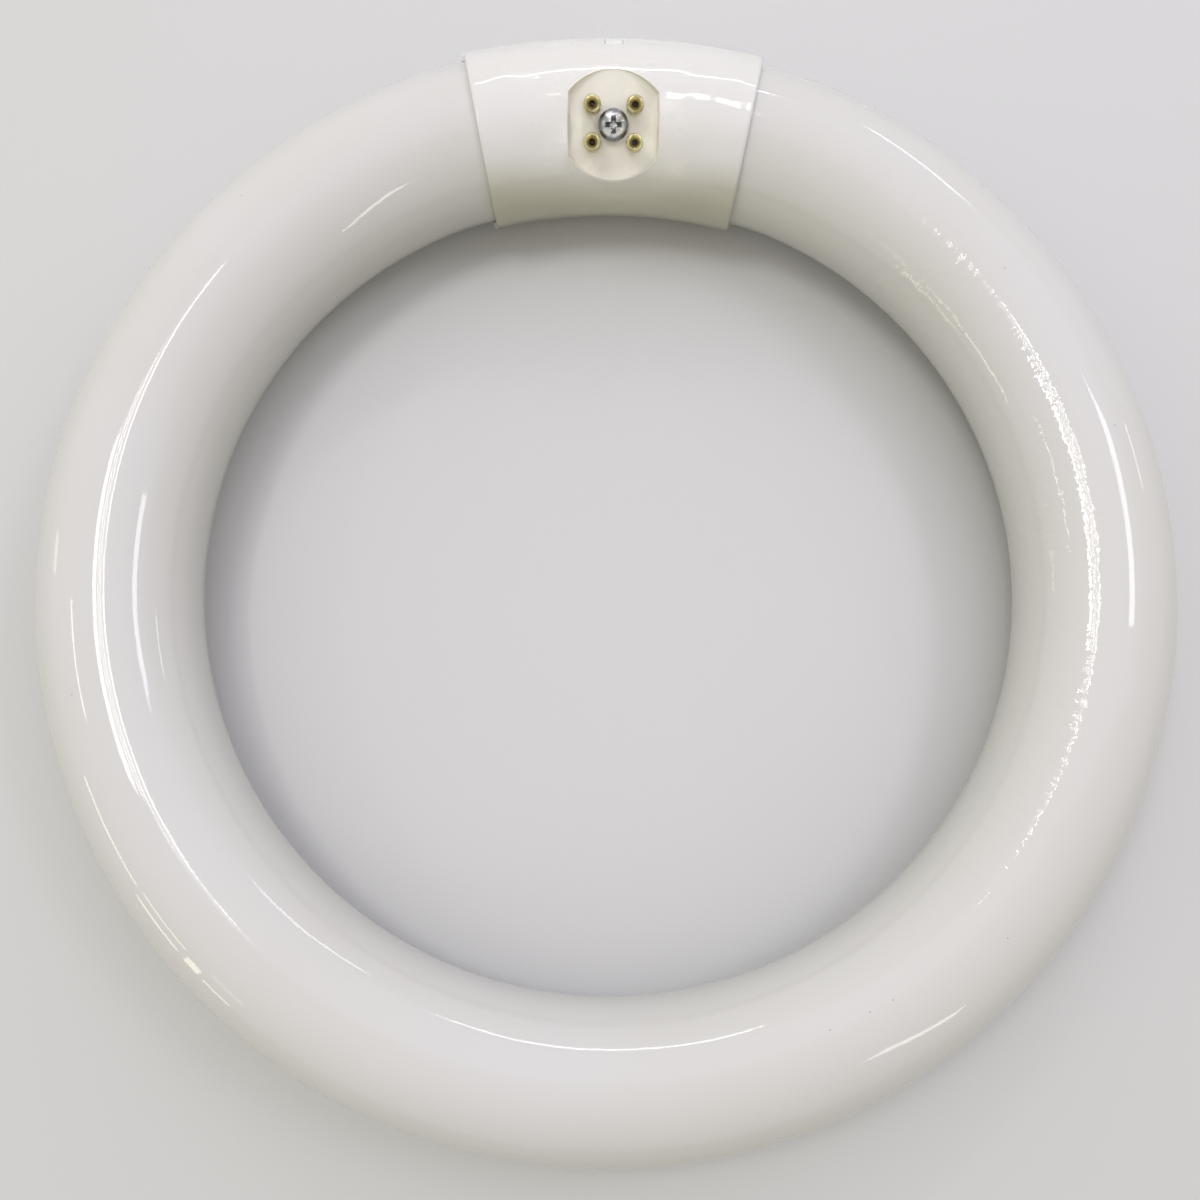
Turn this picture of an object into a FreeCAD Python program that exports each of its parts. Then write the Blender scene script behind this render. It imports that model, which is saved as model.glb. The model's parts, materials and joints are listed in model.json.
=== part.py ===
import FreeCAD, Part
import math
import os

# Circular fluorescent tube, lying flat with its pins up.
# The ring's axis is +Z, the cap is at +Y, and the origin is under the ring's centre.
# Sizes are in millimetres.

# Glass ring
tube_diameter = 29.0
ring_bend_radius = 92.25
cap_bend_radius = 106.0
shoulder_end_angle = 25.0
glass_end_round = 3.0

# Stem drawn into each end of the glass, with the sealed exhaust tip standing in it
stem_rim = 3.0
stem_depth = 7.0
stem_floor_margin = 1.75
exhaust_tip_diameter = 4.4
exhaust_tip_reach = 3.0

# Cap shell round the two glass ends
cap_length = 53.6
cap_end_angle = 11.4
cap_wall = 1.3
cap_clearance = 0.2
cap_run_out = 1.5
back_half_slip = 0.5
cap_rim_round = 0.6
seam_groove = 0.3

# Latch tongue of the back half in its notch in the front half
latch_width = 3.5
latch_height = 7.5
latch_clearance = 0.1
latch_set_back = 0.1

# Contact pins, leaning in towards the ring's axis
pin_lean = 30.0
pin_spacing_across = 7.92
pin_spacing_inward = 6.35
pin_diameter = 3.2
pin_height = 6.6
pin_tip_round = 0.45
pin_tip_land = 0.1
pin_funnel_depth = 0.7
pin_bore = 1.1
pin_shank_diameter = 2.4
pin_tail_diameter = 3.8
pin_tail_length = 0.8
pin_hole_clearance = 0.05

# Pocket round the pins
pocket_depth = 3.2
pocket_side_gap = 3.04
pocket_end_gap = 5.025
pocket_crown = 4.21
pocket_draft = 0.35
pocket_wall = 1.5
pocket_floor_thickness = 2.0
glass_end_clearance = 1.6

# Screw through the pocket floor into the back half's post
screw_head_gap = 0.6
screw_head_side = 1.1
screw_head_round = 0.8
screw_head_height = 2.2
screw_shank_diameter = 2.4
screw_length = 14.0
screw_point = 1.5
screw_hole_clearance = 0.4
screw_pilot_clearance = 0.05
screw_pilot_spare = 2.0
recess_span = 3.4
recess_width = 0.95
recess_depth = 1.5
recess_taper = 0.45
post_gap = 0.27

# Lead wires from the stems into the hollow pins
lead_diameter = 0.7
lead_gap = 0.85
lead_straight = 1.0
lead_bend_radius = 2.5
lead_end_depth = 2.0

# Room that a cutting shape runs past the face it cuts
overrun = 1.0

# Sizes that follow from the ones above
tube_r = tube_diameter / 2
cap_bore_r = tube_r + cap_clearance
cap_outer_r = cap_bore_r + cap_wall
ring_height = cap_outer_r
cap_half_angle = cap_length / 2 / cap_bend_radius
shoulder_start = (cap_length / 2 + back_half_slip + cap_run_out) / cap_bend_radius
shoulder_end = math.radians(shoulder_end_angle)
shoulder_bend_radius = (
    cap_bend_radius * math.sin(shoulder_start) - ring_bend_radius * math.sin(shoulder_end)
) / (math.sin(shoulder_start) - math.sin(shoulder_end))

pin_diagonal = math.hypot(pin_spacing_across, pin_spacing_inward) / 2
pocket_half_width = pin_spacing_across / 2 + pin_diameter / 2 + pocket_side_gap
pocket_half_height = pin_spacing_inward / 2 + pin_diameter / 2 + pocket_end_gap
floor_top = cap_outer_r - pocket_depth
floor_under = floor_top - pocket_floor_thickness
pin_tip = floor_top + pin_height
glass_end_angle = (pocket_half_width + pocket_wall + glass_end_clearance) / cap_bend_radius

screw_head_r = pin_diagonal - pin_diameter / 2 - screw_head_gap
post_r = pin_diagonal - pin_tail_diameter / 2 - post_gap
exhaust_tip_r = exhaust_tip_diameter / 2
lead_r = lead_diameter / 2
lead_offset = exhaust_tip_r + lead_gap + lead_r
stem_mouth_r = tube_r - glass_end_round - stem_rim
stem_throat_r = lead_offset + lead_r + stem_floor_margin

up = FreeCAD.Vector(0, 0, 1)
down = FreeCAD.Vector(0, 0, -1)


def toward(angle):
    """Level direction from the ring's centre, with the angle measured from the cap towards +X."""
    return FreeCAD.Vector(math.sin(angle), math.cos(angle), 0)


# The centreline is a flat arc under the cap, two tighter shoulder arcs and the main bend, all tangent
ring_centre = up * ring_height
shoulder_centre = ring_centre + toward(shoulder_end) * (ring_bend_radius - shoulder_bend_radius)
cap_centre = shoulder_centre + toward(shoulder_start) * (shoulder_bend_radius - cap_bend_radius)
cap_middle = cap_centre + toward(0) * cap_bend_radius

# Directions at the middle of the cap: along the tube, away from the ring's centre, and along the pins
lean = math.radians(pin_lean)
across = FreeCAD.Vector(1, 0, 0)
outward = FreeCAD.Vector(0, math.cos(lean), math.sin(lean))
pinward = FreeCAD.Vector(0, -math.sin(lean), math.cos(lean))


def cap_point(x, m, n):
    """Point x along the tube, m away from the ring's centre and n along the pins, from the cap's middle."""
    return cap_middle + across * x + outward * m + pinward * n


def line(start, end):
    return Part.LineSegment(start, end).toShape()


def arc(start, middle, end):
    return Part.Arc(start, middle, end).toShape()


def bent_rod(centre, bend_radius, section_r, start, end):
    """Solid round rod bent about the vertical line through centre, from one angle to another."""
    section = Part.makeCircle(section_r, centre + toward(start) * bend_radius, toward(start + math.pi / 2))
    face = Part.Face(Part.Wire(section))
    return face.revolve(centre, down, math.degrees(end - start))


def along_cap(face):
    """Sweep a section drawn at the cap's middle along the flat arc, past both ends of the cap."""
    start = face.copy()
    start.rotate(cap_centre, up, math.degrees(shoulder_start))
    return start.revolve(cap_centre, down, math.degrees(2 * shoulder_start))


def cap_end():
    """Middle of the cap's right-hand end face, and the way out of it."""
    end_angle = math.radians(cap_end_angle)
    return cap_centre + toward(cap_half_angle) * cap_bend_radius, toward(end_angle + math.pi / 2)


def between_ends(shape):
    """Trim a sweep at the cap's two end faces."""
    middle, way_out = cap_end()
    size = 4 * cap_outer_r
    block = Part.makeBox(size, size, size, FreeCAD.Vector(-size / 2, -size / 2, 0))
    block.Placement = FreeCAD.Placement(middle, FreeCAD.Rotation(up, way_out))
    return shape.cut([block, mirrored(block)])


def turned(edges, x, m):
    """Turn a closed outline about the pin-wise line through x, m."""
    return Part.Face(Part.Wire(edges)).revolve(cap_point(x, m, 0), pinward, 360)


def mirrored(shape):
    return shape.mirror(FreeCAD.Vector(0, 0, 0), across)


def glass_end():
    """Right-hand glass end: its middle, the way out of the glass, and the side that the outer lead is on."""
    radial = toward(glass_end_angle)
    middle = cap_centre + radial * cap_bend_radius
    way_out = toward(glass_end_angle - math.pi / 2)
    cross = radial * math.cos(lean) + up * math.sin(lean)
    return middle, way_out, cross


def glass_tube():
    """The whole ring of glass as one closed solid, with a stem and an exhaust tip at each end."""
    middle, way_out, _ = glass_end()
    under_cap = bent_rod(cap_centre, cap_bend_radius, tube_r, glass_end_angle, shoulder_start)
    rim = [e for e in under_cap.Edges if e.isClosed() and e.CenterOfMass.isEqual(middle, cap_clearance)]
    under_cap = under_cap.makeFillet(glass_end_round, rim)
    stem = Part.makeCone(stem_mouth_r, stem_throat_r, stem_depth, middle, way_out * -1)
    tip_length = stem_depth + exhaust_tip_reach - exhaust_tip_r + overrun
    tip_base = middle - way_out * (stem_depth + overrun)
    tip = Part.makeCylinder(exhaust_tip_r, tip_length, tip_base, way_out)
    tip_ball = Part.makeSphere(exhaust_tip_r, tip_base + way_out * tip_length)
    right_end = under_cap.cut(stem).fuse([tip, tip_ball])
    right_shoulder = bent_rod(shoulder_centre, shoulder_bend_radius, tube_r, shoulder_start, shoulder_end)
    main_bend = bent_rod(ring_centre, ring_bend_radius, tube_r, shoulder_end, 2 * math.pi - shoulder_end)
    pieces = [right_shoulder, right_end, mirrored(right_shoulder), mirrored(right_end)]
    return main_bend.fuse(pieces).removeSplitter()


def disc_section(radius):
    """Round section at the cap's middle."""
    return Part.Face(Part.Wire(Part.makeCircle(radius, cap_middle, across)))


def ring_section(outer_r, inner_r):
    """Annular section of the cap shell at its middle."""
    return disc_section(outer_r).cut(disc_section(inner_r)).Faces[0]


def end_rims(half):
    """The long outer edge of each end face of a sleeve half."""
    middle, way_out = cap_end()
    rims = []
    for edge in half.Edges:
        spot = edge.valueAt((edge.FirstParameter + edge.LastParameter) / 2)
        spot.x = abs(spot.x)
        reach = spot - middle
        on_end = abs(reach.dot(way_out)) < cap_clearance
        if on_end and edge.Length > cap_outer_r and reach.Length > cap_outer_r - cap_wall / 2:
            rims.append(edge)
    return rims


def shell_half(side):
    """Half of the cap's sleeve, on the pin side (1) or the back (-1), with round rims and a seam groove."""
    lip = cap_outer_r - seam_groove
    edge = math.sqrt(cap_outer_r ** 2 - seam_groove ** 2)
    rise = side * seam_groove

    def at(m, n):
        return cap_point(0, m, n)

    section = Part.Face(Part.Wire([
        line(at(cap_bore_r, 0), at(lip, 0)),
        line(at(lip, 0), at(edge, rise)),
        arc(at(edge, rise), at(0, side * cap_outer_r), at(-edge, rise)),
        line(at(-edge, rise), at(-lip, 0)),
        line(at(-lip, 0), at(-cap_bore_r, 0)),
        arc(at(-cap_bore_r, 0), at(0, side * cap_bore_r), at(cap_bore_r, 0)),
    ]))
    half = between_ends(along_cap(section))
    return half.makeFillet(min(cap_rim_round, cap_wall / 2), end_rims(half))


def pocket_outline(grow, n):
    """Outline of the pocket at height n: two flats at the sides and an arched crown at each end."""
    x = pocket_half_width + grow
    crown = pocket_half_height + grow
    corner = crown - pocket_crown
    return Part.Wire([
        line(cap_point(x, -corner, n), cap_point(x, corner, n)),
        arc(cap_point(x, corner, n), cap_point(0, crown, n), cap_point(-x, corner, n)),
        line(cap_point(-x, corner, n), cap_point(-x, -corner, n)),
        arc(cap_point(-x, -corner, n), cap_point(0, -crown, n), cap_point(x, -corner, n)),
    ])


def latch(width, height, base):
    """Block over the latch's place on the outer side of the seam, from base up to height."""
    corner = cap_point(-width / 2, cap_outer_r / 2, base)
    block = Part.makeBox(width, cap_outer_r, height - base)
    turn = FreeCAD.Rotation(across, pin_lean)
    block.Placement = FreeCAD.Placement(corner, turn)
    return block


def pin_places():
    """Name and place of each contact pin."""
    places = {}
    for side, x in (("left", -pin_spacing_across / 2), ("right", pin_spacing_across / 2)):
        for end, m in (("outer", pin_spacing_inward / 2), ("inner", -pin_spacing_inward / 2)):
            places[side + "_" + end] = (x, m)
    return places


def cap_front_half():
    """Pin-side half of the cap, with the pocket, its floor and the latch notch."""
    wall_middle = along_cap(disc_section(cap_outer_r - cap_wall / 2))
    cup_face = Part.Face(pocket_outline(pocket_wall, floor_under))
    cup = cup_face.extrude(pinward * cap_outer_r).common(wall_middle)
    mouth = cap_outer_r + overrun
    mouth_grow = pocket_draft * (mouth - cap_outer_r) / pocket_depth
    outlines = [pocket_outline(-pocket_draft, floor_top), pocket_outline(mouth_grow, mouth)]
    pocket = Part.makeLoft(outlines, True, True)
    through = pocket_floor_thickness + 2 * overrun
    screw_hole_r = screw_shank_diameter / 2 + screw_hole_clearance
    holes = [Part.makeCylinder(screw_hole_r, through, cap_point(0, 0, floor_under - overrun), pinward)]
    for x, m in pin_places().values():
        base = cap_point(x, m, floor_under - overrun)
        holes.append(Part.makeCylinder(pin_shank_diameter / 2 + pin_hole_clearance, through, base, pinward))
    notch = latch(latch_width, latch_height, -overrun)
    return shell_half(1).fuse(cup).cut([pocket, notch] + holes).removeSplitter()


def cap_back_half():
    """Back half of the cap, slipped a little to the left, with the screw post and the latch tongue."""
    tongue_sleeve = along_cap(ring_section(cap_outer_r - latch_set_back, cap_bore_r))
    tongue = tongue_sleeve.common(
        latch(latch_width - 2 * latch_clearance, latch_height - latch_clearance, -overrun))
    post_foot = -cap_bore_r - cap_wall / 2
    post = Part.makeCylinder(post_r, floor_under - post_foot, cap_point(0, 0, post_foot), pinward)
    pilot_foot = floor_top - screw_length - screw_pilot_spare
    pilot_r = screw_shank_diameter / 2 + screw_pilot_clearance
    pilot = Part.makeCylinder(pilot_r, floor_top - pilot_foot, cap_point(0, 0, pilot_foot), pinward)
    half = shell_half(-1)
    half.rotate(cap_centre, up, math.degrees(back_half_slip / cap_bend_radius))
    return half.fuse([post, tongue]).cut(pilot).removeSplitter()


def contact_pin(x, m):
    """Hollow pin riveted in the pocket floor: a tail under it, a shank through it and a barrel above it."""
    barrel_r = pin_diameter / 2
    bore_r = pin_bore / 2
    shank_r = pin_shank_diameter / 2
    tail_r = pin_tail_diameter / 2
    shoulder = barrel_r - pin_tip_round
    funnel_r = shoulder - pin_tip_land
    round_middle = barrel_r - pin_tip_round * (1 - math.sqrt(0.5))

    def at(r, n):
        return cap_point(x + r, m, n)

    before_round = [
        at(bore_r, floor_under - pin_tail_length), at(tail_r, floor_under - pin_tail_length),
        at(tail_r, floor_under), at(shank_r, floor_under), at(shank_r, floor_top),
        at(barrel_r, floor_top), at(barrel_r, pin_tip - pin_tip_round)]
    after_round = [
        at(shoulder, pin_tip), at(funnel_r, pin_tip), at(bore_r, pin_tip - pin_funnel_depth), before_round[0]]
    edges = [line(a, b) for a, b in zip(before_round, before_round[1:])]
    middle = at(round_middle, pin_tip - pin_tip_round * (1 - math.sqrt(0.5)))
    edges.append(arc(before_round[-1], middle, after_round[0]))
    edges += [line(a, b) for a, b in zip(after_round, after_round[1:])]
    return turned(edges, x, m)


def cross_outline(scale, n):
    """Twelve-cornered cross of the screw's recess."""
    wing = recess_span / 2 * scale
    flank = recess_width / 2 * scale
    quarter = [(wing, flank), (flank, flank), (flank, wing)]
    corners = []
    for turn in range(4):
        for a, b in quarter:
            for _ in range(turn):
                a, b = -b, a
            corners.append(cap_point(a, b, n))
    return Part.makePolygon(corners + corners[:1])


def cap_screw():
    """Pan-head screw with a cross recess; its core fills the post's pilot hole."""
    shank_r = screw_shank_diameter / 2
    top = floor_top + screw_head_height
    side_top = floor_top + screw_head_side
    crown_r = screw_head_r - screw_head_round
    crown = screw_head_height - screw_head_side - screw_head_round
    dome_r = (crown_r ** 2 + crown ** 2) / (2 * crown)
    half_way = math.asin(crown_r / dome_r) / 2
    dome_middle = top - dome_r * (1 - math.cos(half_way))
    round_middle = screw_head_round * math.sqrt(0.5)

    def at(r, n):
        return cap_point(r, 0, n)

    points = [
        at(0, top), at(0, floor_top - screw_length), at(shank_r, floor_top - screw_length + screw_point),
        at(shank_r, floor_top), at(screw_head_r, floor_top), at(screw_head_r, side_top)]
    brow = at(crown_r, top - crown)
    edges = [line(a, b) for a, b in zip(points, points[1:])]
    edges.append(arc(points[-1], at(crown_r + round_middle, side_top + round_middle), brow))
    edges.append(arc(brow, at(dome_r * math.sin(half_way), dome_middle), points[0]))
    outlines = [cross_outline(recess_taper, top - recess_depth), cross_outline(1, top)]
    recess = Part.makeLoft(outlines, True, True)
    return turned(edges, 0, 0).cut(recess)


def rounded_route(points, radius):
    """Path through the points, with each corner rounded by a tangent arc."""
    edges = []
    here = points[0]
    for before, corner, after in zip(points, points[1:], points[2:]):
        back = (before - corner).normalize()
        ahead = (after - corner).normalize()
        half_turn = (math.pi - back.getAngle(ahead)) / 2
        trim = radius * math.tan(half_turn)
        bisector = (back + ahead).normalize()
        crest = corner + bisector * (radius / math.cos(half_turn) - radius)
        edges.append(line(here, corner + back * trim))
        edges.append(arc(corner + back * trim, crest, corner + ahead * trim))
        here = corner + ahead * trim
    edges.append(line(here, points[-1]))
    return Part.Wire(edges)


def lead_wire(x, m):
    """Wire of a pin on the right: straight out of the stem, across to the pin and up its bore."""
    middle, way_out, cross = glass_end()
    start = middle - way_out * stem_depth + cross * math.copysign(lead_offset, m)
    clear = start + way_out * (stem_depth + lead_straight)
    route = rounded_route(
        [start, clear, cap_point(x, m, 0), cap_point(x, m, pin_tip - lead_end_depth)], lead_bend_radius)
    section = Part.Wire(Part.makeCircle(lead_r, start, way_out))
    wire = route.makePipeShell([section], True, True)
    print("lead wire: length %.2f, volume %.3f, section times length %.3f" % (
        route.Length, wire.Volume, math.pi * lead_r ** 2 * route.Length))
    return wire


parts = {
    "glass_tube": glass_tube(),
    "cap_front_half": cap_front_half(),
    "cap_back_half": cap_back_half(),
    "cap_screw": cap_screw(),
}
for place, (x, m) in pin_places().items():
    parts["contact_pin_" + place] = contact_pin(x, m)
    wire = lead_wire(abs(x), m)
    parts["lead_wire_" + place] = wire if x > 0 else mirrored(wire)

os.makedirs("parts", exist_ok=True)
for name, shape in parts.items():
    solid = shape.Solids[0]
    solid.exportStep("parts/" + name + ".step")
    print("%-26s solids %d, valid %s, volume %.1f" % (name, len(shape.Solids), solid.isValid(), solid.Volume))
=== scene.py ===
# %% [markdown]
# # A circular fluorescent tube
# This lesson dresses a ring-shaped lamp for a still picture. The construction is already modelled: a tube
# of white glass bent into a ring, a two-part plastic cap that joins its ends, a screw, four brass pins and
# their lead wires. Those parts load first and never move. What is left for Blender is a finer skin of glass,
# the finish of every surface, the light and the camera.

# %% Load the lamp
import json
from math import cos, degrees, pi, radians, sin, tan
import bpy
from mathutils import Euler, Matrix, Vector


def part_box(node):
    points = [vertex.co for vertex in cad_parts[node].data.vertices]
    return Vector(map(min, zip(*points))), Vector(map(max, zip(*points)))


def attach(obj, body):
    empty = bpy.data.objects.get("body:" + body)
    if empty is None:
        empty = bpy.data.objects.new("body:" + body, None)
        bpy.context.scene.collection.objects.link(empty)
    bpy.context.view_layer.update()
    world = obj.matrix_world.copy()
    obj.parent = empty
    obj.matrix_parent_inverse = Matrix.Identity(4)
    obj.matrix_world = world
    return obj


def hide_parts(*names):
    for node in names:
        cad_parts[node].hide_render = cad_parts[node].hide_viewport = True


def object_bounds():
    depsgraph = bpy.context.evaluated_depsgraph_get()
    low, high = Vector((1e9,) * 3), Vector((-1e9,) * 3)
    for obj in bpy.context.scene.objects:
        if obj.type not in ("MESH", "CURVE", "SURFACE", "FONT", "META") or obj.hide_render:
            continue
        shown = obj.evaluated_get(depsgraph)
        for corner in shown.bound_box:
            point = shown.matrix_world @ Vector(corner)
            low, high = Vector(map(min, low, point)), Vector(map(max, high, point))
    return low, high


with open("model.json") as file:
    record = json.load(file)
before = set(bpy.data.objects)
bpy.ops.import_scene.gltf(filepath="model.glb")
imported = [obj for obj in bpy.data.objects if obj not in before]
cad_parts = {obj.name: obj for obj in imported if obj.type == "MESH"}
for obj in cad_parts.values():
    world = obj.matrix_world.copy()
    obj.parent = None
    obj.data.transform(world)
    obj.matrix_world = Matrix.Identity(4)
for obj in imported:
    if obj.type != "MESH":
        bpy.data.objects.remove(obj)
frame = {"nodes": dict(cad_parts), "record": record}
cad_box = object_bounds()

MM = 0.001
nodes = frame["nodes"]
size_mm = [round(edge / MM, 1) for edge in cad_box[1] - cad_box[0]]
print("pieces loaded:", len(nodes), "overall size in mm:", size_mm)

# %% [markdown]
# ## Where the lamp's lines run
# The tube is not one perfect circle. A long main bend runs round most of the ring, two tighter shoulders
# follow, and a flat arc runs under the cap, all tangent to each other. Everything below is placed from these
# few sizes, which are the lamp's own.

# %% The centreline of the tube
tube_radius = 14.5 * MM
ring_height = 16.0 * MM
main_bend_radius = 92.25 * MM
cap_bend_radius = 106.0 * MM
glass_end = 11.7 * MM / cap_bend_radius
shoulder_start = 28.8 * MM / cap_bend_radius
shoulder_end = radians(25.0)
shoulder_bend_radius = (
    cap_bend_radius * sin(shoulder_start) - main_bend_radius * sin(shoulder_end)
) / (sin(shoulder_start) - sin(shoulder_end))


def toward(angle):
    """Level direction, with the angle measured from the cap towards +X."""
    return Vector((sin(angle), cos(angle), 0.0))


ring_centre = Vector((0.0, 0.0, ring_height))
right_shoulder = ring_centre + toward(shoulder_end) * (main_bend_radius - shoulder_bend_radius)
left_shoulder = Vector((-right_shoulder.x, right_shoulder.y, right_shoulder.z))
cap_centre = right_shoulder + toward(shoulder_start) * (shoulder_bend_radius - cap_bend_radius)
cap_middle = cap_centre + toward(0.0) * cap_bend_radius
print("shoulder radius in mm: %.2f" % (shoulder_bend_radius / MM))

# %% [markdown]
# ## The camera
# The picture looks straight down into the ring from close by, so the near side of every curve looks wide and
# the inner wall of the tube shows all the way round. A short lens near the object gives that, and a long lens
# further off would flatten it. The place and the small turns were found by fitting the ring's outline. The
# axis of the lens meets the picture a little below and to the right of its middle, which is stated in pixels
# and becomes a small camera shift.

# %% Set up the camera
camera_place = Vector((-0.80, -41.0, 218.28)) * MM
camera_turn = Euler((radians(7.0), radians(-0.81), radians(0.386)), "YXZ")
picture_width = 1200.0
focal_length_in_pixels = 1080.0
lens_axis_right = 20.0
lens_axis_down = 61.0

camera_data = bpy.data.cameras.new("camera")
camera_data.sensor_width = 36.0
camera_data.lens = camera_data.sensor_width * focal_length_in_pixels / picture_width
camera_data.shift_x = -lens_axis_right / picture_width
camera_data.shift_y = lens_axis_down / picture_width
camera_data.clip_start = 10 * MM
camera = bpy.data.objects.new("camera", camera_data)
camera.location = camera_place
camera.rotation_euler = camera_turn.to_matrix().to_euler()
bpy.context.scene.collection.objects.link(camera)
bpy.context.scene.camera = camera
bpy.context.scene.view_settings.view_transform = "Standard"
print("lens in mm: %.1f" % camera_data.lens)

# %% [markdown]
# ## Bending the glass
# A glass maker heats a straight tube and wraps it round a drum. Spin does the same here: a circle is added at
# one glass end and spun about the middle of each bend in turn, and every spin starts from the loop that the
# last one left selected. A torus primitive could not follow five different bends, and a curve with a bevel
# would give no control over the closed ends. The first and last steps are one plain stretch each, which the
# rounded ends need.

# %% Draw the first loop of glass
tube_sides = 96
first_end = cap_centre + toward(glass_end) * cap_bend_radius
last_end = Vector((-first_end.x, first_end.y, first_end.z))

bpy.ops.object.select_all(action="DESELECT")
bpy.ops.mesh.primitive_circle_add(
    vertices=tube_sides, radius=tube_radius, location=first_end, rotation=(0.0, pi / 2, -glass_end))
glass_ring = bpy.context.object
glass_ring.name = "opal_glass_ring"
bpy.ops.object.transform_apply(location=True, rotation=True, scale=True)
print("distance between the glass ends in mm: %.1f" % ((first_end - last_end).length / MM))

# %% Spin the tube along its bends
loop_spacing = 1.5 * MM
end_room_angle = 3.6 * MM / cap_bend_radius
under_cap_angle = shoulder_start - glass_end - end_room_angle
shoulder_angle = shoulder_end - shoulder_start
main_angle = 2 * pi - 2 * shoulder_end


def loops_along(radius, angle):
    """Number of loops that keeps their spacing on a bend."""
    return round(angle * radius / loop_spacing)


bends = [
    (cap_centre, end_room_angle, 1),
    (cap_centre, under_cap_angle, loops_along(cap_bend_radius, under_cap_angle)),
    (right_shoulder, shoulder_angle, loops_along(shoulder_bend_radius, shoulder_angle)),
    (ring_centre, main_angle, loops_along(main_bend_radius, main_angle)),
    (left_shoulder, shoulder_angle, loops_along(shoulder_bend_radius, shoulder_angle)),
    (cap_centre, under_cap_angle, loops_along(cap_bend_radius, under_cap_angle)),
    (cap_centre, end_room_angle, 1),
]
bpy.ops.object.mode_set(mode="EDIT")
bpy.ops.mesh.select_all(action="SELECT")
for centre, angle, steps in bends:
    bpy.ops.mesh.spin(steps=steps, angle=angle, center=centre, axis=(0.0, 0.0, 1.0))
bpy.ops.object.mode_set(mode="OBJECT")
print("loops of glass:", len(glass_ring.data.vertices) // tube_sides)

# %% [markdown]
# ## Closing the glass ends
# Each end is melted round and drawn in to a stem, with the sealed tip of the exhaust tube standing in it. The
# cap hides this, but the piece stays true when the cap is taken off. It is a row of plain edit-mode moves:
# fill the open loop, bevel its rim, inset, push the middle in, inset again, pull the tip out and round it.


# %% Moves in edit mode
def select_in_object(piece, kind, wanted):
    """Select the vertices or faces that pass a test, and go to edit mode."""
    bpy.ops.object.mode_set(mode="EDIT")
    bpy.ops.mesh.select_mode(type="VERT" if kind == "vertices" else "FACE")
    bpy.ops.mesh.select_all(action="DESELECT")
    bpy.ops.object.mode_set(mode="OBJECT")
    for item in getattr(piece.data, kind):
        item.select = wanted(item)
    bpy.ops.object.mode_set(mode="EDIT")


def round_selected_face(radius, segments):
    """Bevel the edge round the selected face."""
    bpy.ops.mesh.region_to_loop()
    bpy.ops.mesh.bevel(offset=radius, segments=segments, affect="EDGES")


def push_selected(move, factor, centre):
    """Extrude the selected face and scale it about a point."""
    bpy.ops.mesh.extrude_region_move(TRANSFORM_OT_translate={"value": move})
    bpy.ops.transform.resize(value=(factor, factor, factor), center_override=centre)


# %% Shape both ends
end_round = 3.0 * MM
end_round_segments = 6
stem_rim = 3.0 * MM
stem_depth = 7.0 * MM
stem_mouth = tube_radius - end_round - stem_rim
stem_throat = 5.5 * MM
tip_radius = 2.2 * MM
tip_round = 0.95 * tip_radius
tip_round_segments = 5
tip_reach = 3.0 * MM
hair = 0.01 * MM


def close_end(piece, middle, way_out):
    """Round end, stem and exhaust tip on the open loop round middle."""

    def select_end_face():
        select_in_object(piece, "polygons", lambda face: (face.center - middle).length < hair)

    select_in_object(piece, "vertices", lambda v: abs((v.co - middle).length - tube_radius) < hair)
    bpy.ops.mesh.edge_face_add()
    select_end_face()
    round_selected_face(end_round, end_round_segments)
    select_end_face()
    bpy.ops.mesh.inset(thickness=stem_rim)
    push_selected(-way_out * stem_depth, stem_throat / stem_mouth, middle - way_out * stem_depth)
    bpy.ops.mesh.inset(thickness=stem_throat - tip_radius)
    push_selected(way_out * (stem_depth + tip_reach), 1.0, middle + way_out * tip_reach)
    round_selected_face(tip_round, tip_round_segments)
    bpy.ops.object.mode_set(mode="OBJECT")


close_end(glass_ring, first_end, toward(glass_end - pi / 2))
close_end(glass_ring, last_end, toward(pi / 2 - glass_end))
print("glass faces with both ends:", len(glass_ring.data.polygons))

# %% [markdown]
# ## One skin of glass
# Spin and the moves after it can leave doubled points and faces that point inwards. Merging the points and
# recalculating the normals makes the ring one closed skin. It then stands for the plainer ring of the part,
# and its far corner is compared with that ring's.

# %% Merge, smooth and hand over the ring
merge_distance = 0.001 * MM
crease_angle = radians(40.0)

bpy.ops.object.mode_set(mode="EDIT")
bpy.ops.mesh.select_all(action="SELECT")
bpy.ops.mesh.remove_doubles(threshold=merge_distance)
bpy.ops.mesh.normals_make_consistent(inside=False)
bpy.ops.object.mode_set(mode="OBJECT")
bpy.ops.object.shade_smooth_by_angle(angle=crease_angle)
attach(glass_ring, "root")
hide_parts("glass_tube")

far_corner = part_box("glass_tube")[1]
over = [max(v.co[i] for v in glass_ring.data.vertices) - far_corner[i] for i in range(3)]
print("past the part's ring in mm:", [round(edge / MM, 3) for edge in over])

# %% [markdown]
# ## Node helpers
# The finishes are built from shader nodes. Short helpers keep each one readable: one starts a material, one
# adds a node and wires its inputs, and the others stand for nodes that come again and again. A number that
# holds all over a surface goes straight to the shader's own socket.


# %% Start a finish and add nodes to it
def start_material(name, roughness):
    """An empty finish with a Principled shader on its output."""
    material = bpy.data.materials.new(name)
    material.use_nodes = True
    shader = material.node_tree.nodes["Principled BSDF"]
    shader.inputs["Roughness"].default_value = roughness
    return material, material.node_tree, shader


def add(tree, kind, inputs=None, **settings):
    """Add a node, set it up, and wire or set its inputs."""
    made = tree.nodes.new("ShaderNode" + kind)
    for key, value in settings.items():
        setattr(made, key, value)
    for key, value in (inputs or {}).items():
        if isinstance(value, bpy.types.NodeSocket):
            tree.links.new(value, made.inputs[key])
        else:
            made.inputs[key].default_value = value
    return made


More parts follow.
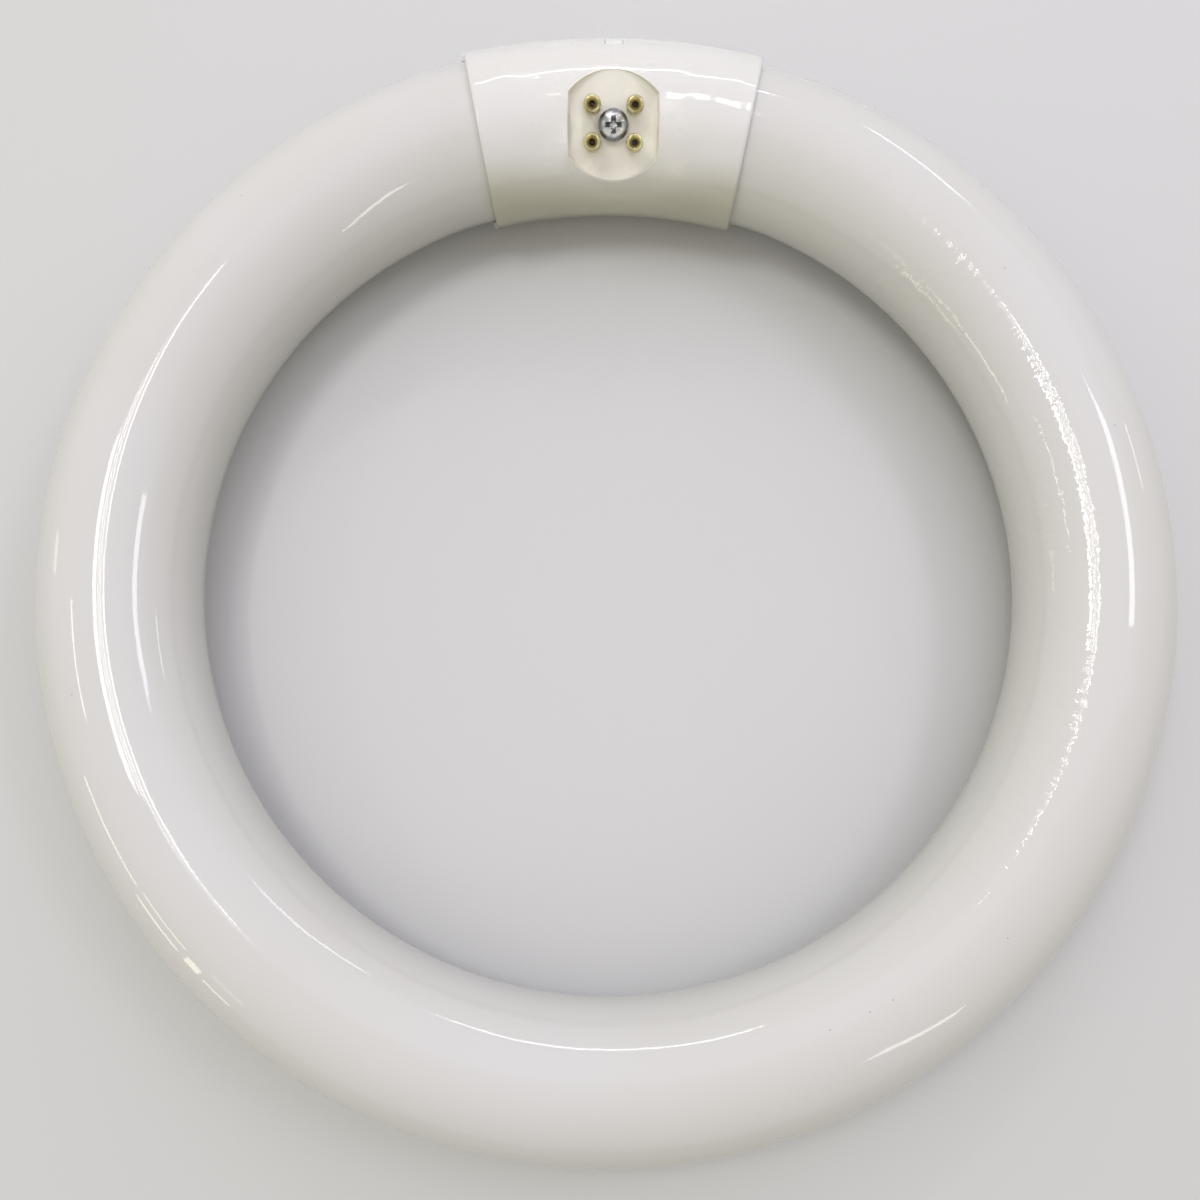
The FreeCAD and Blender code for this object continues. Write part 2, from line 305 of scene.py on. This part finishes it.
def object_place(tree):
    """Place on the piece in metres."""
    return add(tree, "TexCoord").outputs["Object"]


# %% Arithmetic on sockets
def maths(tree, operation, *values):
    """The result of one arithmetic step."""
    return add(tree, "Math", dict(enumerate(values)), operation=operation).outputs[0]


def span(tree, x, y):
    """Length of a flat arrow with these two parts."""
    arrow = add(tree, "CombineXYZ", {"X": x, "Y": y}).outputs[0]
    return add(tree, "VectorMath", {"Vector": arrow}, operation="LENGTH").outputs["Value"]


def fade(tree, value, start, end):
    """0 where value is at start, 1 where it is at end, smooth between."""
    made = add(tree, "MapRange", {"Value": value, "From Min": start, "From Max": end},
               interpolation_type="SMOOTHSTEP")
    return made.outputs["Result"]


def between(tree, value, least, most, start=0.0, end=1.0):
    """From least to most, as value goes from start to end."""
    ranges = {"Value": value, "From Min": start, "From Max": end, "To Min": least, "To Max": most}
    return add(tree, "MapRange", ranges).outputs["Result"]


# %% Noise, relief and colour
def noise(tree, place, wavelength, detail):
    """Soft noise whose lumps are about a wavelength apart."""
    made = add(tree, "TexNoise", {"Vector": place, "Scale": 1.0 / wavelength, "Detail": detail})
    return made.outputs["Fac"]


def bump(tree, height, distance, normal=None):
    """Normal of a surface raised by height times distance."""
    inputs = {"Height": height, "Distance": distance, "Strength": 1.0}
    if normal is not None:
        inputs["Normal"] = normal
    return add(tree, "Bump", inputs).outputs["Normal"]


def mix(tree, share, first, second):
    """Blend of two colours."""
    made = add(tree, "Mix", {"Factor": share}, data_type="RGBA")
    for socket, colour in ((made.inputs[6], first), (made.inputs[7], second)):
        if isinstance(colour, bpy.types.NodeSocket):
            tree.links.new(colour, socket)
        else:
            socket.default_value = (*colour, 1.0)
    return made.outputs[2]


# %% [markdown]
# ## Opal glass
# The white is a powder inside clear glass, so the surface is a bright even white under a sharp dielectric
# gloss. The bends leave their mark: on the inner side, where the hot glass was squeezed, fine wrinkles break
# up the long highlights, most of all on the right, and the rest of the tube is only a little wavy. The
# pattern has to follow the tube, so the place is first unrolled into an angle along the ring and an angle
# round the tube. The powder varies slightly in tone, and a few dust specks sit on the glass.


# %% Unroll the glass
def unrolled_angles(tree, place):
    """Angle along the ring from the side opposite the cap, and angle round the tube from its top."""
    x, y, z = add(tree, "SeparateXYZ", {"Vector": place}).outputs
    along = maths(tree, "ARCTAN2", x, maths(tree, "MULTIPLY", y, -1.0))
    outward = maths(tree, "SUBTRACT", span(tree, x, y), main_bend_radius)
    around = maths(tree, "ARCTAN2", outward, maths(tree, "SUBTRACT", z, ring_height))
    return along, around


def flat_glass(tree, along, around, squeeze):
    """Place on the flattened glass, with the way round the tube squeezed."""
    run = maths(tree, "MULTIPLY", along, main_bend_radius)
    girth = maths(tree, "MULTIPLY", around, tube_radius)
    return add(tree, "CombineXYZ", {"X": run, "Y": maths(tree, "MULTIPLY", girth, squeeze)}).outputs[0]


# %% Waves and wrinkles of the bent glass
wave_spacing = 28 * MM
wave_height = 0.35 * MM
wrinkle_spacing = 1.8 * MM
wrinkle_height = 0.10 * MM
wrinkle_squeeze = 0.6
patch_spacing = 30 * MM
patch_squeeze = 0.3
patch_limits = (0.1, 0.6)
inner_side_limits = (radians(-2), radians(-16))
right_side_start = (radians(35), radians(65))
right_side_end = (radians(160), radians(135))
wrinkles_elsewhere = 0.12


def glass_relief(tree, along, around):
    """Normal of the glass: long waves all over, and wrinkles in patches on the inner side."""
    squeezed = flat_glass(tree, along, around, wrinkle_squeeze)
    waves = bump(tree, noise(tree, squeezed, wave_spacing, detail=1.0), wave_height)
    inner_side = fade(tree, around, *inner_side_limits)
    right_side = maths(tree, "MULTIPLY", fade(tree, along, *right_side_start),
                       fade(tree, along, *right_side_end))
    share = between(tree, right_side, wrinkles_elsewhere, 1.0)
    blotches = noise(tree, flat_glass(tree, along, around, patch_squeeze), patch_spacing, detail=0.0)
    patches = fade(tree, blotches, *patch_limits)
    wrinkles = noise(tree, squeezed, wrinkle_spacing, detail=2.0)
    where = maths(tree, "MULTIPLY", share, maths(tree, "MULTIPLY", inner_side, patches))
    return bump(tree, maths(tree, "MULTIPLY", wrinkles, where), wrinkle_height, waves)


print("wrinkles in mm: %.1f apart, %.2f high" % (wrinkle_spacing / MM, wrinkle_height / MM))

# %% Specks on the glass
speck_colour = (0.42, 0.40, 0.37)
speck_radius = 0.17 * MM
speck_places = [  # degrees along the ring, degrees round the tube
    (-134.9, 18.5), (127.5, -4.1), (105.8, 10.6), (-75.4, 17.9),
    (46.3, 8.3), (32.6, -10.5), (29.8, -11.8), (25.0, -13.8),
]


def speck_spot(along, around):
    """Point on the glass, by its angle along the ring and its angle round the tube."""
    away = toward(pi - along)
    spot = ring_centre + away * (main_bend_radius + tube_radius * sin(around))
    spot.z += tube_radius * cos(around)
    return spot


def add_specks(tree, place, colour):
    """The colour with a small dark round spot at every speck."""
    for along_degrees, around_degrees in speck_places:
        spot = speck_spot(radians(along_degrees), radians(around_degrees))
        gap = add(tree, "VectorMath", {0: place, 1: spot}, operation="DISTANCE").outputs["Value"]
        colour = mix(tree, fade(tree, gap, speck_radius, speck_radius / 2), colour, speck_colour)
    return colour


print("specks on the glass:", len(speck_places))

# %% Finish of the glass ring
cool_white = (0.79, 0.78, 0.79)
warm_white = (0.775, 0.765, 0.75)
glass_ior = 1.51
tone_limits = (0.35, 0.65)
powder_spacing = 60 * MM
smudge_spacing = 18 * MM
smudge_limits = (0.3, 0.7)
clean_glass_roughness = 0.025
smudged_glass_roughness = 0.07


def opal_glass_finish():
    material, tree, shader = start_material("opal_glass", roughness=0.06)
    place = object_place(tree)
    along, around = unrolled_angles(tree, place)
    tree.links.new(glass_relief(tree, along, around), shader.inputs["Normal"])

    tone = fade(tree, noise(tree, place, powder_spacing, detail=3.0), *tone_limits)
    colour = add_specks(tree, place, mix(tree, tone, cool_white, warm_white))
    tree.links.new(colour, shader.inputs["Base Color"])

    smudges = noise(tree, place, smudge_spacing, detail=4.0)
    gloss = between(tree, smudges, clean_glass_roughness, smudged_glass_roughness, *smudge_limits)
    tree.links.new(gloss, shader.inputs["Roughness"])
    shader.inputs["IOR"].default_value = glass_ior
    return material


glass_ring.data.materials.append(opal_glass_finish())
print("finish on the ring:", glass_ring.data.materials[0].name)

# %% [markdown]
# ## The pocket's own frame
# The pins lean in towards the middle of the ring, and the pocket, the screw and the mould lines follow that
# lean. A Mapping node turns a piece's place into the pocket's frame: across the cap, away from the ring, and
# along the pins. The lean and the pins' places come from the contact pins in the part's record.

# %% Find the pocket's frame
contacts = [mount for mount in frame["record"]["mounts"] if mount["kind"] == "pin"]
pin_axis = Vector(contacts[0]["axis"])
lean = Vector((0.0, 0.0, 1.0)).angle(pin_axis)
cap_outer_radius = 16.0 * MM
pocket_depth = 3.2 * MM
pocket_floor = cap_outer_radius - pocket_depth
contact_across = max(contact["pos_m"][0] for contact in contacts)
contact_spread = (Vector(contacts[0]["pos_m"]) - Vector(contacts[1]["pos_m"])).length / 2
print("pins lean by %.1f degrees" % degrees(lean))


def pocket_place(tree):
    """Place in the pocket's frame, measured from the middle of the cap: across, outward, along the pins."""
    turn = Euler((-lean, 0.0, 0.0))
    middle = turn.to_matrix() @ cap_middle
    mapping = add(tree, "Mapping", {"Vector": object_place(tree), "Location": -middle, "Rotation": turn})
    return mapping.outputs["Vector"]


# %% [markdown]
# ## Cap plastic
# Both halves of the cap are moulded in glossy white plastic. The mould leaves the skin slightly wavy, which
# is why the highlight along the cap wanders and swells, and a fine line runs from the latch to the pocket
# where the mould closed. Inside the pocket the plastic is painted a brighter ivory, a painted light that
# stands in for light bounced about the pocket. The lower side that faces the ring is painted darker and
# warmer, a painted shade, and the latch tongue is painted lighter, a painted light where it catches more
# light. One finish serves both halves, and the pocket's outline picks out the painted ivory part.

# %% Relief of the cap
swell_spacing = 17 * MM
swell_height = 0.4 * MM
cap_wave_spacing = 5.5 * MM
cap_wave_height = 0.21 * MM
grain_spacing = 1.2 * MM
grain_height = 0.002 * MM
mould_line_width = 0.8 * MM
mould_line_height = 0.015 * MM
mould_line_fade = 1 * MM
pocket_half_height = 9.8 * MM


def cap_relief(tree, place, sideways, outward):
    """Normal of the cap: swells, waves and grain all over, and the mould line above the pocket."""
    swells = bump(tree, noise(tree, place, swell_spacing, detail=0.0), swell_height)
    waves = bump(tree, noise(tree, place, cap_wave_spacing, detail=0.0), cap_wave_height, swells)
    grain = bump(tree, noise(tree, place, grain_spacing, detail=1.0), grain_height, waves)
    beside_line = fade(tree, sideways, mould_line_width, 0.0)
    above_pocket = fade(tree, outward, pocket_half_height, pocket_half_height + mould_line_fade)
    return bump(tree, maths(tree, "MULTIPLY", beside_line, above_pocket), mould_line_height, grain)


print("cap waves in mm: %.1f apart, %.2f high" % (cap_wave_spacing / MM, cap_wave_height / MM))

# %% Where the pocket and the latch tongue are
pocket_half_width = 8.6 * MM
pocket_crown = 4.21 * MM
pin_side_fade = 1 * MM
tongue_half_width = 1.65 * MM
tongue_height = 7.4 * MM
edge_blur = 0.15 * MM


def inside_pocket(tree, sideways, outward, along_pins):
    """1 inside the pocket's outline: two flats at the sides and an arched crown at each end."""
    arch_radius = (pocket_half_width ** 2 + pocket_crown ** 2) / (2 * pocket_crown)
    arch_drop = arch_radius - pocket_half_height
    arch = span(tree, sideways, maths(tree, "ADD", maths(tree, "ABSOLUTE", outward), arch_drop))
    crowns = fade(tree, arch, arch_radius + edge_blur, arch_radius - edge_blur)
    flats = fade(tree, sideways, pocket_half_width + edge_blur, pocket_half_width - edge_blur)
    pin_side = fade(tree, along_pins, 0.0, pin_side_fade)
    return maths(tree, "MULTIPLY", maths(tree, "MULTIPLY", crowns, flats), pin_side)


def on_tongue(tree, sideways, outward, along_pins):
    """1 on the latch tongue, on the outer side of the cap."""
    width = fade(tree, sideways, tongue_half_width + edge_blur, tongue_half_width)
    height = fade(tree, along_pins, tongue_height + edge_blur, tongue_height)
    outer_side = fade(tree, outward, 0.0, cap_outer_radius / 2)
    return maths(tree, "MULTIPLY", maths(tree, "MULTIPLY", width, height), outer_side)


print("pocket in mm: %.1f by %.1f" % (2 * pocket_half_width / MM, 2 * pocket_half_height / MM))

# %% Finish of the cap
cap_white = (0.885, 0.875, 0.88)
cap_shade = (0.865, 0.855, 0.84)
cap_painted_shade = (0.66, 0.645, 0.545)
pocket_painted_light = (0.95, 0.93, 0.87)
tongue_painted_light = (0.96, 0.955, 0.945)
painted_shade_from = 4.5 * MM
painted_shade_to = 14.0 * MM
shade_spacing = 25 * MM
scuff_spacing = 6 * MM
scuff_limits = (0.3, 0.7)
polished_cap_roughness = 0.035
scuffed_cap_roughness = 0.06


def cap_plastic_finish():
    material, tree, shader = start_material("cap_plastic", roughness=0.12)
    place = object_place(tree)
    across, outward, along_pins = add(tree, "SeparateXYZ", {"Vector": pocket_place(tree)}).outputs
    sideways = maths(tree, "ABSOLUTE", across)
    tree.links.new(cap_relief(tree, place, sideways, outward), shader.inputs["Normal"])

    tone = fade(tree, noise(tree, place, shade_spacing, detail=3.0), *tone_limits)
    skin = mix(tree, tone, cap_white, cap_shade)
    # painted shade: the lower side towards the ring is darker and warmer
    skin = mix(tree, fade(tree, outward, -painted_shade_from, -painted_shade_to), skin, cap_painted_shade)
    # painted light: the latch tongue is lighter than the cap, where it catches more light
    skin = mix(tree, on_tongue(tree, sideways, outward, along_pins), skin, tongue_painted_light)
    # painted light: the pocket is a brighter ivory than the cap, standing in for light bounced inside it
    skin = mix(tree, inside_pocket(tree, sideways, outward, along_pins), skin, pocket_painted_light)
    tree.links.new(skin, shader.inputs["Base Color"])

    scuffs = noise(tree, place, scuff_spacing, detail=4.0)
    gloss = between(tree, scuffs, polished_cap_roughness, scuffed_cap_roughness, *scuff_limits)
    tree.links.new(gloss, shader.inputs["Roughness"])
    return material


def give(material, *names):
    """Put the finish on carried-over pieces."""
    for name in names:
        nodes[name].material_slots[0].material = material
    print("finish", material.name, "on:", *names)


give(cap_plastic_finish(), "cap_front_half", "cap_back_half")

# %% [markdown]
# ## Brass pins
# The pins are drawn brass sleeves, bright on the rim where they rub in the holder and a duller gold in the
# funnel where the lead wire was crimped. Down the bore they are painted dark as shade. All four share one
# finish. Taking the two coordinates across the pins without their signs folds the four places onto one, so
# the funnel and the bore's painted shade centre on every pin.

# %% Where the funnel and the bore are
pin_tip = pocket_floor + 6.6 * MM
funnel_throat = 0.75 * MM
funnel_mouth = 1.15 * MM
funnel_depth = 0.5 * MM
bore_radius = 0.55 * MM
bore_edge = 0.08 * MM
bore_shade_from = 0.6 * MM
bore_shade_to = 0.9 * MM


def funnel_and_bore_shade(tree):
    """1 in the funnel of any pin, and 1 deep in the bore of any pin, where shade is painted."""
    across, outward, along_pins = add(tree, "SeparateXYZ", {"Vector": pocket_place(tree)}).outputs
    from_axis = span(tree, maths(tree, "SUBTRACT", maths(tree, "ABSOLUTE", across), contact_across),
                     maths(tree, "SUBTRACT", maths(tree, "ABSOLUTE", outward), contact_spread))
    funnel = maths(tree, "MULTIPLY", fade(tree, from_axis, funnel_mouth, funnel_throat),
                   fade(tree, along_pins, pin_tip, pin_tip - funnel_depth))
    bore_shade = maths(tree, "MULTIPLY", fade(tree, from_axis, bore_radius + bore_edge, bore_radius),
                 fade(tree, along_pins, pin_tip - bore_shade_from, pin_tip - bore_shade_to))
    return funnel, bore_shade


print("bore of a pin in mm: %.1f" % (2 * bore_radius / MM))

# %% Finish of the pins
brass = (0.60, 0.53, 0.30)
tarnish = (0.37, 0.32, 0.15)
funnel_gold = (0.64, 0.55, 0.28)
bore_painted_shade = (0.05, 0.03, 0.015)
stain_spacing = 1.5 * MM
stain_limits = (0.42, 0.66)
rubbed_brass_roughness = 0.16
dull_brass_roughness = 0.40
drawn_ring_spacing = 3 * MM
drawn_ring_height = 0.002 * MM


def pin_brass_finish():
    material, tree, shader = start_material("pin_brass", roughness=0.25)
    place = object_place(tree)
    funnel, bore_shade = funnel_and_bore_shade(tree)
    stains = fade(tree, noise(tree, place, stain_spacing, detail=4.0), *stain_limits)
    colour = mix(tree, funnel, mix(tree, stains, brass, tarnish), funnel_gold)
    # painted shade: the bore is dark
    tree.links.new(mix(tree, bore_shade, colour, bore_painted_shade), shader.inputs["Base Color"])
    shader.inputs["Metallic"].default_value = 1.0

    dull = maths(tree, "MAXIMUM", stains, funnel)
    gloss = between(tree, dull, rubbed_brass_roughness, dull_brass_roughness)
    tree.links.new(gloss, shader.inputs["Roughness"])
    wave = {"Vector": place, "Scale": 1.0 / drawn_ring_spacing, "Distortion": 1.0}
    rings = add(tree, "TexWave", wave, bands_direction="Z").outputs["Fac"]
    tree.links.new(bump(tree, rings, drawn_ring_height), shader.inputs["Normal"])
    return material


give(pin_brass_finish(), *[name for name in nodes if name.startswith("contact_pin")])

# %% [markdown]
# ## Zinc screw
# The screw that clamps the cap is zinc plated and bright, with fine turning marks round its head and small
# dents that break the light into glints. Painted shade greys the rounded rim of the head and darkens the deep
# parts of the cross recess. A ring pattern about the screw's axis gives the marks, and the distance from that
# axis gives the painted rim shade.

# %% Relief of the screw
turning_spacing = 1.2 * MM
turning_height = 0.003 * MM
dent_spacing = 0.9 * MM
dent_height = 0.16 * MM


def screw_relief(tree, centred):
    """Normal of the screw: turning marks about its axis, and dents."""
    wave = {"Vector": centred, "Scale": 1.0 / turning_spacing, "Distortion": 0.6, "Detail": 2.0}
    rings = add(tree, "TexWave", wave, wave_type="RINGS", rings_direction="Z").outputs["Fac"]
    marks = bump(tree, rings, turning_height)
    return bump(tree, noise(tree, centred, dent_spacing, detail=1.0), dent_height, marks)


print("dents of the screw in mm: %.1f apart" % (dent_spacing / MM))

# %% Finish of the screw
zinc = (0.68, 0.68, 0.68)
zinc_dull = (0.42, 0.42, 0.42)
rim_painted_shade = (0.20, 0.20, 0.198)
recess_painted_shade = (0.30, 0.30, 0.29)
dull_spacing = 1.0 * MM
dull_limits = (0.4, 0.65)
bright_zinc_roughness = 0.22
dull_zinc_roughness = 0.42
screw_brow = 1.95 * MM
screw_rim = 2.4 * MM
screw_top = pocket_floor + 2.2 * MM
recess_shade_from = 0.35 * MM
recess_shade_to = 0.8 * MM
recess_floor_reach = 0.6 * MM


def screw_zinc_finish():
    material, tree, shader = start_material("screw_zinc", roughness=0.25)
    centred = pocket_place(tree)
    tree.links.new(screw_relief(tree, centred), shader.inputs["Normal"])

    across, outward, along_pins = add(tree, "SeparateXYZ", {"Vector": centred}).outputs
    from_axis = span(tree, across, outward)
    dulled = fade(tree, noise(tree, centred, dull_spacing, detail=4.0), *dull_limits)
    # painted shade: the deep parts of the cross recess are darker
    recess_shade = maths(tree, "MULTIPLY", fade(tree, along_pins, screw_top - recess_shade_from, screw_top - recess_shade_to),
                  fade(tree, from_axis, recess_floor_reach / 2, recess_floor_reach))
    # painted shade: the rounded rim of the head is grey
    rim_shade = fade(tree, from_axis, screw_brow, screw_rim)
    colour = mix(tree, rim_shade, mix(tree, dulled, zinc, zinc_dull), rim_painted_shade)
    tree.links.new(mix(tree, recess_shade, colour, recess_painted_shade), shader.inputs["Base Color"])
    shader.inputs["Metallic"].default_value = 1.0
    gloss = between(tree, dulled, bright_zinc_roughness, dull_zinc_roughness)
    tree.links.new(gloss, shader.inputs["Roughness"])
    return material


give(screw_zinc_finish(), "cap_screw")

# %% [markdown]
# ## Lead wires
# Inside the cap, plain nickel wire runs from the glass ends up into the hollow pins, where its dark end shows
# at the bottom of each bore. It is dulled by heat, so a soft noise mixes metal and oxide and roughens the
# skin.

# %% Finish of the wires
wire_nickel = (0.08, 0.06, 0.045)
wire_oxide = (0.045, 0.035, 0.025)
oxide_spacing = 0.8 * MM
oxide_height = 0.004 * MM


def lead_wire_finish():
    material, tree, shader = start_material("lead_metal", roughness=0.35)
    stains = noise(tree, object_place(tree), oxide_spacing, detail=3.0)
    tree.links.new(mix(tree, stains, wire_nickel, wire_oxide), shader.inputs["Base Color"])
    tree.links.new(bump(tree, stains, oxide_height), shader.inputs["Normal"])
    shader.inputs["Metallic"].default_value = 1.0
    return material


give(lead_wire_finish(), *[name for name in nodes if name.startswith("lead_wire")])

# %% [markdown]
# ## The floor
# The cap is a little thicker than the tube, so the lamp rests on the back of the cap and on the far side of
# the ring, tipped by about half a degree. The lamp keeps its own upright frame here, and the floor is tipped
# instead until it touches both. The floor is pale to the eye but throws back less light than it shows, so the
# underside of the ring stays in shade.

# %% Lay the floor
floor_sides = 128
floor_reach = 6.0
floor_inset = 0.9 * floor_reach
cap_foot = Vector((0.0, cap_middle.y, 0.0))
ring_foot = Vector((0.0, -main_bend_radius, ring_height - tube_radius))
slope = (cap_foot - ring_foot).normalized()

bpy.ops.object.select_all(action="DESELECT")
bpy.ops.mesh.primitive_circle_add(
    vertices=floor_sides, radius=floor_reach, fill_type="NGON", location=cap_foot)
floor = bpy.context.object
floor.name = "pale_floor"
bpy.ops.object.transform_apply(location=True, rotation=True, scale=True)
bpy.ops.object.mode_set(mode="EDIT")
bpy.ops.mesh.select_all(action="SELECT")
bpy.ops.mesh.inset(thickness=floor_inset)
bpy.ops.object.mode_set(mode="OBJECT")
for vertex in floor.data.vertices:
    vertex.co.z = (vertex.co.y - cap_foot.y) * slope.z / slope.y
print("floor slope in degrees: %.2f" % degrees(slope.angle(Vector((0.0, 1.0, 0.0)))))

# %% Finish of the floor
floor_bounce = (0.30, 0.30, 0.265)
floor_shown = (0.72, 0.725, 0.73)
floor_shown_light = (0.75, 0.753, 0.756)
cloud_spacing = 180 * MM


def looked_at(tree):
    """1 where the eye looks, straight, by a reflection or through glass, and 0 where light is thrown back."""
    rays = add(tree, "LightPath").outputs
    mirrored = maths(tree, "MAXIMUM", rays["Is Glossy Ray"], rays["Is Transmission Ray"])
    return maths(tree, "MAXIMUM", rays["Is Camera Ray"], mirrored)


def floor_finish():
    material, tree, shader = start_material("pale_floor", roughness=0.55)
    cloud = noise(tree, object_place(tree), cloud_spacing, detail=2.0)
    shown = mix(tree, cloud, floor_shown, floor_shown_light)
    tree.links.new(mix(tree, looked_at(tree), floor_bounce, shown), shader.inputs["Base Color"])
    return material


floor.data.materials.append(floor_finish())
print("finish on the floor:", floor.data.materials[0].name)

# %% [markdown]
# ## Light
# A large soft panel overhead and behind the cap lights the ring, so the sides that face the front are the
# shaded ones. A lit tray with four bare tubes hangs up on the left and draws the bundles of thin lines along
# both sides of the ring. Single strips round about draw the other long highlights, a gridded strip lights the
# cap alone, a gridded spot lifts the pocket, and low warm windows on the left and at the front left glow on
# the glass. Each lamp is stated by how bright its face looks, and the power follows from its area.


# %% A lamp by its place, size and brightness
def panel(name, middle, size, brightness, colour, aim=None, turn=0.0, grid=pi):
    """A rectangular lamp that faces down, or towards aim, and shines in a cone as wide as its grid."""
    light = bpy.data.lights.new(name, "AREA")
    light.shape = "RECTANGLE"
    light.size, light.size_y = size
    light.energy = brightness * pi * size[0] * size[1]
    light.color = colour
    light.spread = grid
    lamp = bpy.data.objects.new(name, light)
    lamp.location = middle
    lamp.rotation_euler = (0.0, 0.0, turn)
    if aim is not None:
        lamp.rotation_euler = (aim - Vector(middle)).to_track_quat("-Z", "Y").to_euler()
    lamp.visible_camera = False
    bpy.context.scene.collection.objects.link(lamp)


# %% Hang the panel, the tray and its tubes
sky_light = (0.60, 0.60, 1.0)
tube_light = (1.0, 1.0, 0.93)
strip_height = 0.80
panel_height = strip_height + 0.02
tube_height = strip_height - 0.01
tube_brightness = 11.0
tubes = [  # place across, near end, far end, width
    (-0.285, 0.012, 0.222, 0.060),
    (-0.215, 0.032, 0.226, 0.012),
    (-0.175, 0.042, 0.230, 0.012),
    (-0.115, 0.062, 0.234, 0.020),
]
panel("overhead_panel", (0.35, 0.60, panel_height), (1.1, 1.2), 0.57, sky_light)
panel("ceiling_tray", (-0.21, 0.134, strip_height), (0.22, 0.20), 1.8, tube_light)
for x, near_end, far_end, width in tubes:
    middle = Vector((x, (near_end + far_end) / 2, tube_height))
    panel("ceiling_tube", middle, (width, far_end - near_end), tube_brightness, tube_light)
print("tubes in the tray:", len(tubes))

# %% Hang the strips and the spot
cool_light = (0.93, 0.93, 1.0)
pocket_middle = cap_middle + pin_axis * pocket_floor
panel("right_strip", (0.56, 0.24, strip_height), (0.14, 0.28), 6.5, cool_light)
panel("far_right_strip", (1.92, 0.81, strip_height), (0.26, 0.06), 6.0, cool_light, aim=ring_centre)
panel("back_strip", (0.05, 1.00, strip_height), (0.56, 0.06), 11.0, tube_light, turn=radians(28))
panel("gridded_strip", (0.0453, 0.33, strip_height), (0.027, 0.10), 0.09, tube_light,
      aim=cap_middle, grid=radians(14))
panel("gridded_spot", (0.0, -0.478, strip_height), (0.012, 0.012), 0.75, tube_light,
      aim=pocket_middle, grid=radians(2))
panel("back_right_strip", (0.72, 1.30, strip_height), (0.08, 0.60), 6.7, cool_light)
panel("left_strip", (-0.92, 0.05, strip_height), (0.06, 0.22), 7.2, tube_light)
panel("front_strip", (0.88, -0.98, strip_height), (0.85, 0.06), 5.7, tube_light, turn=radians(-33))
print("lamps so far:", len(bpy.data.lights))

# %% Set the warm windows
window_warm = (1.0, 0.93, 0.68)
window_distance = 1.2
windows = [  # direction, elevation, width and height in degrees, brightness
    (281.0, 12.0, 4.0, 5.0, 2.5),
    (250.5, 13.0, 13.0, 2.6, 5.0),
    (239.0, 15.5, 7.5, 2.6, 4.0),
    (239.0, 3.5, 7.5, 3.0, 4.0),
    (233.0, 6.0, 2.4, 10.0, 4.5),
    (228.5, 1.5, 5.0, 2.6, 3.5),
    (228.0, 19.0, 6.0, 4.0, 1.3),
]
for azimuth, elevation, width, height, brightness in windows:
    way = toward(radians(azimuth)) + Vector((0.0, 0.0, tan(radians(elevation))))
    size = (radians(width) * window_distance, radians(height) * window_distance)
    panel("warm_window", ring_centre + way * window_distance, size, brightness, window_warm, aim=ring_centre)
print("lamps in all:", len(bpy.data.lights))

# %% [markdown]
# ## Surroundings
# What the lamps leave dark is filled by a room: bright towards the back left, dimmer overhead, and dimmest at
# the front right. To the eye, straight or by a reflection, it is a plain pale backdrop, which also shows when
# the lamp is seen from the side.

# %% Fill from the room
dim_wall = (0.30, 0.30, 0.18)
bright_wall = (0.79, 0.81, 0.73)
ceiling_glow = (0.60, 0.565, 0.525)
backdrop_shown = (0.80, 0.805, 0.81)
ceiling_limits = (0.15, 0.75)
bright_side = toward(radians(-35))
bright_side_limits = (-0.8, 0.8)

world = bpy.data.worlds.new("pale_room")
bpy.context.scene.world = world
world.use_nodes = True
room = world.node_tree
direction = add(room, "TexCoord").outputs["Generated"]
rise = fade(room, add(room, "SeparateXYZ", {"Vector": direction}).outputs["Z"], *ceiling_limits)
facing = add(room, "VectorMath", {0: direction, 1: bright_side}, operation="DOT_PRODUCT").outputs["Value"]
wall = mix(room, fade(room, facing, *bright_side_limits), dim_wall, bright_wall)
glow = mix(room, rise, wall, ceiling_glow)
backdrop = mix(room, looked_at(room), glow, backdrop_shown)
room.links.new(backdrop, room.nodes["Background"].inputs["Color"])
print("room nodes:", len(room.nodes))
